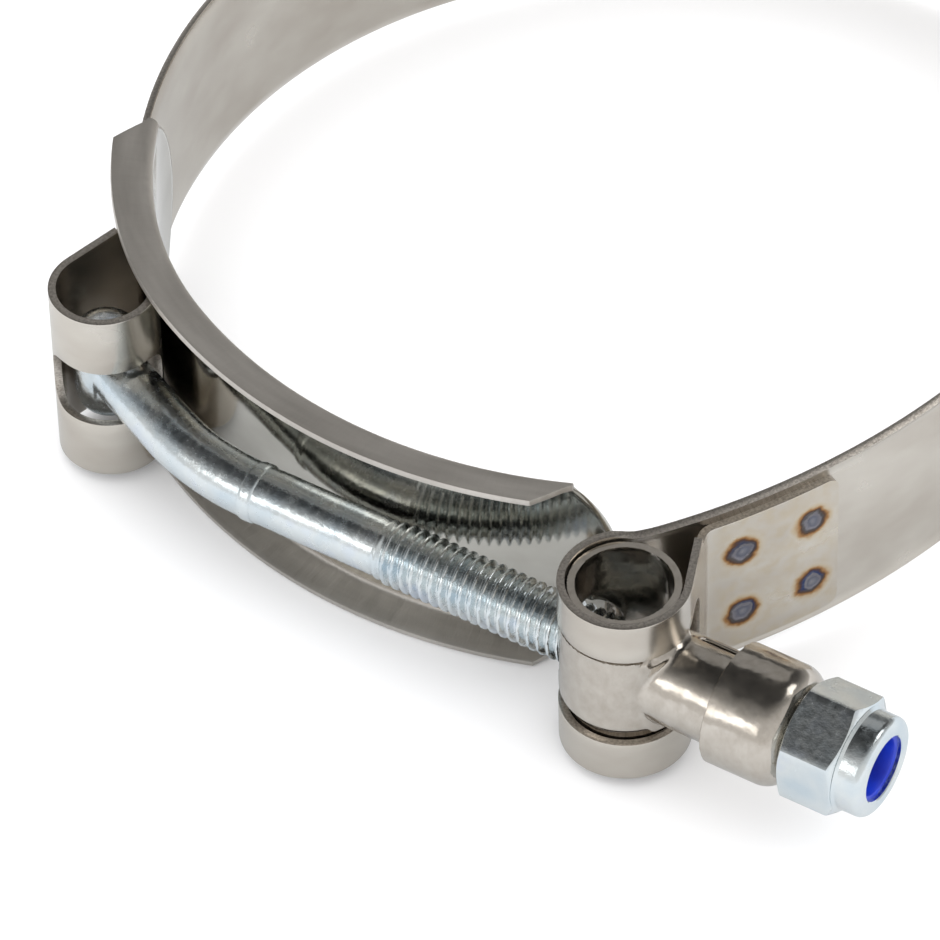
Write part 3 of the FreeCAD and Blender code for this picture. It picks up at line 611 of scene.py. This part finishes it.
def threadRadius(sizes, depth, angle, fromStart, fromEnd):
    # rolled 60 degree thread, flat at the crest and rounded at the root
    phase = (depth / sizes["pitch"] - angle / (2 * math.pi)) % 1.0
    ridge = abs(phase - 0.5) * 2
    ridge = min(1.0, max(0.0, (ridge - sizes["rootFlat"]) / sizes["flank"]))
    eased = ridge * ridge * (3 - 2 * ridge)
    ridge += (eased - ridge) * sizes["flankRound"]
    full = sizes["root"] + (sizes["crest"] - sizes["root"]) * ridge
    blend = min(1.0, max(0.0, fromStart / sizes["runOut"]))
    radius = sizes["shankRadius"] + (full - sizes["shankRadius"]) * blend
    if fromEnd < sizes["endChamfer"]:
        radius = min(radius, sizes["root"] - sizes["endDrop"] + fromEnd * sizes["endSlope"])
    return radius


def forgedRadius(sizes, point, way, fromCollar, fromThread):
    # the shank with its parting collar, a little uneven from the forging but not where the thread starts
    radius = sizes["shankRadius"]
    near = fromCollar / (sizes["collarWidth"] / 2)
    if near < 1:
        radius += sizes["collarRise"] * math.sqrt(1 - near ** 4)
    spot = (point + way * radius) * sizes["lumpScale"]
    uneven = noise.noise(spot) * sizes["lump"] + noise.noise(spot * sizes["pitScale"]) * sizes["pit"]
    return radius + uneven * min(1, max(0, fromThread / sizes["calmLength"]))


def buildBolt(path, sizes, material):
    around = sizes["around"]
    bendEnd = path["marks"]["bend"][1]
    threadFrom = bendEnd + sizes["threadStart"]
    total = path["length"]
    step, half = sizes["step"], sizes["collarWidth"] / 2
    threadStep = sizes["pitch"] / sizes["perPitch"]
    stations = [k * step for k in range(int(threadFrom / step) + 1)]
    stations += [bendEnd + half * share for share in (-1.0, -0.9, -0.7, -0.35, 0.0, 0.35, 0.7, 0.9, 1.0)]
    stations += [threadFrom + k * threadStep for k in range(int((total - threadFrom) / threadStep) + 1)]
    stations = sorted(set(round(station, 5) for station in stations + [total]))
    points, uvs = [], []
    for travelled in stations:
        point, out = alongPath(path, travelled)
        for k in range(around):
            # angle runs right-handed about the bolt's way to the nut
            angle = 2 * math.pi * k / around
            way = upward * math.cos(angle) + out * math.sin(angle)
            if travelled >= threadFrom:
                radius = threadRadius(sizes, travelled, angle, travelled - threadFrom, total - travelled)
            else:
                radius = forgedRadius(sizes, point, way, abs(travelled - bendEnd), threadFrom - travelled)
            points.append(point + way * radius)
            uvs.append((travelled, angle * sizes["shankRadius"]))
    faces = gridFaces(len(stations), around, closed=True)
    last = (len(stations) - 1) * around
    faces.append(tuple(range(around - 1, -1, -1)))
    faces.append(tuple(last + k for k in range(around)))
    faces = [face[::-1] for face in faces]
    bolt = newPiece("forgedBolt", points, faces, "t_bolt", "t_bolt", uvs, [material])

    # the upright bar with domed ends that turns in the left loop
    barHalf = bandSizes["halfWidth"] - sizes["headSetback"]
    radius, dome = sizes["headRadius"], sizes["headDome"]
    domed = []
    for k in range(sizes["domeSteps"] + 1):
        turn = math.pi / 2 * k / sizes["domeSteps"]
        domed.append((radius - dome * (1 - math.sin(turn)), -barHalf + dome * (1 - math.cos(turn))))
    profile = [(0.0, -barHalf)] + domed + [(radius, z) for z in (-dome, 0.0, dome)]
    profile += [(r, -z) for r, z in reversed(domed)] + [(0.0, barHalf)]
    head = turnedPiece("boltHead", profile, path["legs"][0]["point"], upward, sizes["headAround"],
                       "t_bolt", material)
    addModifier(bolt, "BOOLEAN", object=head, operation="UNION", solver="EXACT")
    bakeShape(bolt, 45)
    bpy.data.objects.remove(head)


# T-piece: the sheet tee, its edges softened
teeSizes = {
    "weldGap": 0.001, "grain": 0.17, "flow": 5, "flowShare": 0.5,
    "barrelRim": 5.1, "saddleLow": 4.15, "saddleHigh": 4.85, "saddleEnd": 4.6,
    "liftAbove": 0.4, "liftBelow": 0.7,
    "rim": 9.0, "rimRound": 0.25,
    "crown": 5.2, "crownUnder": 0.8, "crownOver": 0.2, "crownEnd": 4.0,
    "crownInside": 5.4, "crownOutside": 5.9, "saddle": 5.8,
}


def easeSaddle(mesh, centre, sizes):
    # the saddle hugs the strap above its slot and leaves a dark gap below
    for vertex in mesh.vertices:
        spot = vertex.co / mm
        away = math.hypot(spot.x - centre.x, spot.y - centre.y)
        onRim = away > sizes["barrelRim"] and sizes["saddleLow"] < abs(spot.z) < sizes["saddleHigh"]
        if onRim and spot.x < centre.x + sizes["saddleEnd"]:
            lift = sizes["liftAbove"] if spot.z > 0 else sizes["liftBelow"]
            vertex.co.z += lift * mm


def squareEdges(mesh, centre, sizes):
    # the smoothing rounds the sheet's cut edges: the barrel's rims and the saddle's crown are made flat again
    crown = sizes["crown"]
    for vertex in mesh.vertices:
        spot = vertex.co / mm
        out = Vector((spot.x - centre.x, spot.y - centre.y))
        if abs(spot.z) > sizes["rim"] - sizes["rimRound"]:
            vertex.co.z = math.copysign(sizes["rim"], spot.z) * mm
        onCrown = crown - sizes["crownUnder"] < spot.z < crown + sizes["crownOver"]
        onSaddle = sizes["crownInside"] < out.length < sizes["crownOutside"]
        if onCrown and onSaddle and spot.x < centre.x + sizes["crownEnd"]:
            out = out.normalized() * sizes["saddle"]
            height = crown if spot.z > crown - sizes["crownOver"] else spot.z
            vertex.co = Vector((centre.x + out.x, centre.y + out.y, height)) * mm
    mesh.set_sharp_from_angle(angle=math.radians(50))


def buildTee(centre, sizes, material):
    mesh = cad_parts["t_piece"].data.copy()
    easeSaddle(mesh, centre, sizes)
    piece = bpy.data.objects.new("sheetTee", mesh)
    bpy.context.scene.collection.objects.link(piece)
    mesh.materials.clear()
    mesh.materials.append(material)
    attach(piece, "t_piece")
    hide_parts("t_piece")
    addModifier(piece, "WELD", merge_threshold=sizes["weldGap"] * mm)
    addModifier(piece, "REMESH", mode="VOXEL", voxel_size=sizes["grain"] * mm, use_smooth_shade=True)
    addModifier(piece, "SMOOTH", factor=sizes["flowShare"], iterations=sizes["flow"])
    bakeShape(piece, 60)
    squareEdges(piece.data, centre, sizes)


def quarterTurn(steps):
    # angles from the side round to the top of a rounded corner, leaving out the first
    return [math.pi / 2 * k / steps for k in range(1, steps + 1)]


# Ferrule: a drawn cap with a sheared edge
ferruleSizes = {
    "start": 10.7, "length": 7.15, "radius": 5.6, "wall": 0.5, "dome": 2.2, "hole": 3.75, "around": 96,
    "mouth": 0.6, "mouthRound": 0.06, "holeRound": 0.08, "domeSteps": 12, "insideSteps": 8,
    "shear": 0.12, "shearDepth": 0.5, "shearScale": 9, "shearBias": 0.3,
}


def buildFerrule(centre, sizes, material):
    radius, wall, dome, length = sizes["radius"], sizes["wall"], sizes["dome"], sizes["length"]
    mouth, mouthRound = sizes["mouth"], sizes["mouthRound"]
    hole, holeRound = sizes["hole"], sizes["holeRound"]
    outside = [(radius - mouthRound, 0.0), (radius, mouthRound), (radius, mouth), (radius, length - dome)]
    for turn in quarterTurn(sizes["domeSteps"]):
        outside.append((radius - dome * (1 - math.cos(turn)), length - dome * (1 - math.sin(turn))))
    outside += [(hole + holeRound, length), (hole, length - holeRound), (hole, length - wall)]
    bend, innerRadius, innerEnd = dome - wall, radius - wall, length - wall
    inside = [(innerRadius, innerEnd - bend)]
    for turn in quarterTurn(sizes["insideSteps"]):
        inside.append((innerRadius - bend * (1 - math.cos(turn)), innerEnd - bend * (1 - math.sin(turn))))
    inside = inside[::-1] + [(innerRadius, mouth), (innerRadius, mouthRound), (innerRadius + mouthRound, 0.0)]
    base = centre + Vector((sizes["start"], 0, 0))
    piece = turnedPiece("drawnFerrule", outside + inside, base, Vector((1, 0, 0)), sizes["around"],
                        "ferrule", material, "ferrule")
    for vertex in piece.data.vertices:
        place = vertex.co / mm
        fade = 1 - (place.x - base.x) / sizes["shearDepth"]
        if fade > 0:
            turn = math.atan2(place.z, place.y - centre.y)
            ragged = noise.noise(compass(math.degrees(turn), sizes["shearScale"]))
            vertex.co.x += fade * sizes["shear"] * (ragged + sizes["shearBias"]) * mm
    bakeShape(piece, 40)


# Lock nut: hexagon, chamfers and the collar over the insert
nutSizes = {
    "flats": 10.0, "hex": 5.4, "height": 7.9, "perFlat": 20, "cornerCut": 0.07, "chamfer": 25.0,
    "washer": 0.96, "crispIn": 0.04, "crispAlong": 0.05, "bore": 2.7, "boreChamfer": 0.45,
    "collar": 4.65, "collarFoot": 0.25, "collarRound": 0.7, "roundSteps": 6,
    "lip": 0.45, "lipRound": 0.1, "sight": 3.05,
    "insertRadius": 3.6, "insertBore": 2.6, "insertHeight": 2.1, "insertGap": 0.01, "insertAround": 72,
    "insertFoot": 0.2, "insertTop": (0.35, 0.1),
}


def nutProfile(sizes, angle):
    # radius and height round the nut's wall: its foot, a flat or corner, the collar, the lip and the bore
    flat = sizes["flats"] / 2
    fromFlat = (angle + math.pi / 6) % (math.pi / 3) - math.pi / 6
    reach = min(flat / math.cos(fromFlat), flat / math.cos(math.pi / 6) - sizes["cornerCut"])
    washer = flat * sizes["washer"]
    cut = (reach - washer) * math.tan(math.radians(sizes["chamfer"]))
    crispIn, crispAlong = sizes["crispIn"], sizes["crispAlong"]
    collar, foot, rounded = sizes["collar"], sizes["collarFoot"], sizes["collarRound"]
    bore, sight, insert = sizes["bore"], sizes["sight"], sizes["insertRadius"]
    boreChamfer, lipRound = sizes["boreChamfer"], sizes["lipRound"]
    hexTop, top = sizes["hex"], sizes["height"]
    lipFoot = top - sizes["lip"]
    insertFoot = lipFoot - sizes["insertHeight"]
    profile = [(bore + boreChamfer, 0.0), (washer, 0.0), (reach - crispIn, cut), (reach, cut + crispAlong),
               (reach, hexTop - cut - crispAlong), (reach - crispIn, hexTop - cut), (washer, hexTop),
               (collar + foot, hexTop), (collar, hexTop + foot), (collar, top - rounded)]
    for turn in quarterTurn(sizes["roundSteps"]):
        profile.append((collar - rounded * (1 - math.cos(turn)), top - rounded * (1 - math.sin(turn))))
    return profile + [(sight + lipRound, top), (sight, top - lipRound), (sight, lipFoot),
                      (insert, lipFoot), (insert, insertFoot), (bore, insertFoot), (bore, boreChamfer)]


def buildNut(base, sizes, material):
    axis = Vector((1, 0, 0))
    around = 6 * sizes["perFlat"]
    points, uvs, faces = [], [], []
    for k in range(around):
        angle = 2 * math.pi * k / around
        way = Vector((0, math.cos(angle), math.sin(angle)))
        for radius, place in nutProfile(sizes, angle):
            points.append(base + axis * place + way * radius)
            uvs.append((angle * radius, place))
    rows = len(points) // around
    for k in range(around):
        here, there = k * rows, (k + 1) % around * rows
        for row in range(rows):
            after = (row + 1) % rows
            faces.append((here + row, here + after, there + after, there + row))
    piece = newPiece("hexLockNut", points, faces, "lock_nut", "lock_nut", uvs, [material])
    bakeShape(piece, 30)


def buildInsert(base, sizes, material):
    end = sizes["height"] - sizes["lip"]
    start = end - sizes["insertHeight"]
    bore, outer = sizes["insertBore"], sizes["insertRadius"] - sizes["insertGap"]
    foot, (wide, narrow) = sizes["insertFoot"], sizes["insertTop"]
    profile = [(bore, start + foot), (bore + foot, start), (outer, start), (outer, end), (bore + wide, end),
               (bore + narrow, end - narrow), (bore, end - wide)]
    piece = turnedPiece("nylonRing", profile, base, Vector((1, 0, 0)), sizes["insertAround"],
                        "lock_nut", material, "nylon_insert")
    bakeShape(piece, 40)


# The studio, in metres, but the camera's aim and distance in millimetres
studio = {
    "aim": (-2.93, -25.6, -9.5), "distance": 726.265, "lookDown": 46.148, "turn": 33.077, "roll": -1.6012,
    "lens": 309.26, "sensor": 36.0, "clip": (0.05, 20),
    "floorSize": 4.0, "floorGap": 0.0002, "floorColour": "#e9e9ea", "floorMirrored": "#c6c8cb",
    "floorGlow": 0.04,
    "tentLight": 1.75, "backdrop": 0.96, "darkening": (-0.3, 0.461, 1.0), "roomLow": 0.55, "roomSpan": 1.65,
    "roomTones": [(0.0, 0.9), (0.33, 0.75), (0.53, 0.6), (0.68, 0.3), (0.85, 0.05), (1.0, 0.02)],
    "lampAim": (0, -0.03, 0),
    "lamps": [("keyBox", (0.44, 0.34, 0.6), (0.36, 0.36), 0.9),
              ("windowBox", (-0.34, -0.77, 0.34), (0.5, 0.22), 0.6),
              ("farPanel", (-0.36, 0.56, 0.62), (0.7, 0.5), 0.35)],
}


def placeCamera(sizes):
    down, roll = math.radians(sizes["lookDown"]), math.radians(sizes["roll"])
    back = turned(Vector((0, -math.cos(down), math.sin(down))), sizes["turn"])
    right = turned(Vector((1, 0, 0)), sizes["turn"])
    above = back.cross(right)
    across = right * math.cos(roll) + above * math.sin(roll)
    tall = above * math.cos(roll) - right * math.sin(roll)
    camera = bpy.data.cameras.new("photoCamera")
    camera.lens, camera.sensor_width = sizes["lens"], sizes["sensor"]
    camera.clip_start, camera.clip_end = sizes["clip"]
    holder = bpy.data.objects.new("photoCamera", camera)
    bpy.context.scene.collection.objects.link(holder)
    matrix = Matrix((across, tall, back)).transposed().to_4x4()
    matrix.translation = (Vector(sizes["aim"]) + back * sizes["distance"]) * mm
    holder.matrix_world = matrix
    bpy.context.scene.camera = holder


def buildFloor(sizes):
    half, height = sizes["floorSize"] / 2, cadLow.z - sizes["floorGap"]
    mesh = bpy.data.meshes.new("studioFloor")
    corners = [(-half, -half, height), (half, -half, height), (half, half, height), (-half, half, height)]
    mesh.from_pydata(corners, [], [(0, 1, 2, 3)])
    floor = bpy.data.objects.new("studioFloor", mesh)
    bpy.context.scene.collection.objects.link(floor)
    # Pale paper: matt, so that only the soft shadow shows on it.
    material, tree, shader = newMaterial("white paper sweep", {
        "Roughness": 0.9, "Specular IOR Level": 0.0, "Emission Color": (1, 1, 1, 1),
        "Emission Strength": sizes["floorGlow"]})
    # it is greyer in the metal's mirror images, so that they keep their tones
    path = addNode(tree, "LightPath", {})
    feed(tree, shader, {"Base Color": addNode(tree, "Mix", {
        0: path.outputs["Is Glossy Ray"], 6: sizes["floorColour"], 7: sizes["floorMirrored"]},
        data_type="RGBA")})
    mesh.materials.append(material)


def softbox(name, place, size, power, aim):
    light = bpy.data.lights.new(name, "AREA")
    light.shape = "RECTANGLE"
    light.size, light.size_y = size
    light.energy = power
    holder = bpy.data.objects.new(name, light)
    bpy.context.scene.collection.objects.link(holder)
    holder.location = place
    holder.rotation_euler = (Vector(aim) - Vector(place)).to_track_quat("-Z", "Y").to_euler()


def buildWorld(sizes):
    # mirrors see a dark ceiling over paler walls, palest in front; all else is lit by a bright tent
    world = bpy.data.worlds.new("studioRoom")
    bpy.context.scene.world = world
    world.use_nodes = True
    tree = world.node_tree
    way = addNode(tree, "TexCoord", {}).outputs["Generated"]
    rise = addNode(tree, "VectorMath", {0: way, 1: sizes["darkening"]}, operation="DOT_PRODUCT")
    rise = addNode(tree, "Math", {0: rise, 1: sizes["roomLow"]}, operation="ADD")
    rise = addNode(tree, "Math", {0: rise, 1: sizes["roomSpan"]}, operation="DIVIDE")
    room = addNode(tree, "ValToRGB", {"Fac": rise}, sizes["roomTones"])
    path = addNode(tree, "LightPath", {})
    tent, backdrop = ((level, level, level, 1) for level in (sizes["tentLight"], sizes["backdrop"]))
    shown = addNode(tree, "Mix", {0: path.outputs["Is Glossy Ray"], 6: tent, 7: room}, data_type="RGBA")
    shown = addNode(tree, "Mix", {0: path.outputs["Is Camera Ray"], 6: shown, 7: backdrop}, data_type="RGBA")
    feed(tree, tree.nodes["Background"], {"Color": shown})


# Making everything
leftHalf = bandHalfPath(bandSizes, True)
rightHalf = bandHalfPath(bandSizes, False)
leftTab, rightTab = (half["marks"]["tab"][0] + bandSizes["tabLength"] / 2 for half in (leftHalf, rightHalf))
buildBand(bandSizes, stripSteel(leftTab, rightTab, bandSizes, weldLook), shearedEdge())
print("band done")
buildTongue(tongueSizes, polishedSteel(), creasedSteel())
print("tongue done")
leftCentre = leftHalf["named"]["loop"]["centre"]
rightCentre = rightHalf["named"]["loop"]["centre"]
boltPath = boltPlan(leftCentre, rightCentre, boltSizes)
buildBolt(boltPath, boltSizes, zincPlate("zinc plated forging", 0.2))
print("bolt done")
sheetSteel = brightSheet()
buildTee(rightCentre, teeSizes, sheetSteel)
buildFerrule(rightCentre, ferruleSizes, sheetSteel)
nutBase = Vector((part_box("lock_nut")[0].x / mm, rightCentre.y, 0))
buildNut(nutBase, nutSizes, zincPlate("zinc plated nut", 0.16))
buildInsert(nutBase, nutSizes, blueNylon())
print("fittings done")

buildFloor(studio)
buildWorld(studio)
placeCamera(studio)
for lamp in studio["lamps"]:
    softbox(*lamp, studio["lampAim"])
bpy.context.scene.view_settings.view_transform = "Standard"
print("studio done")
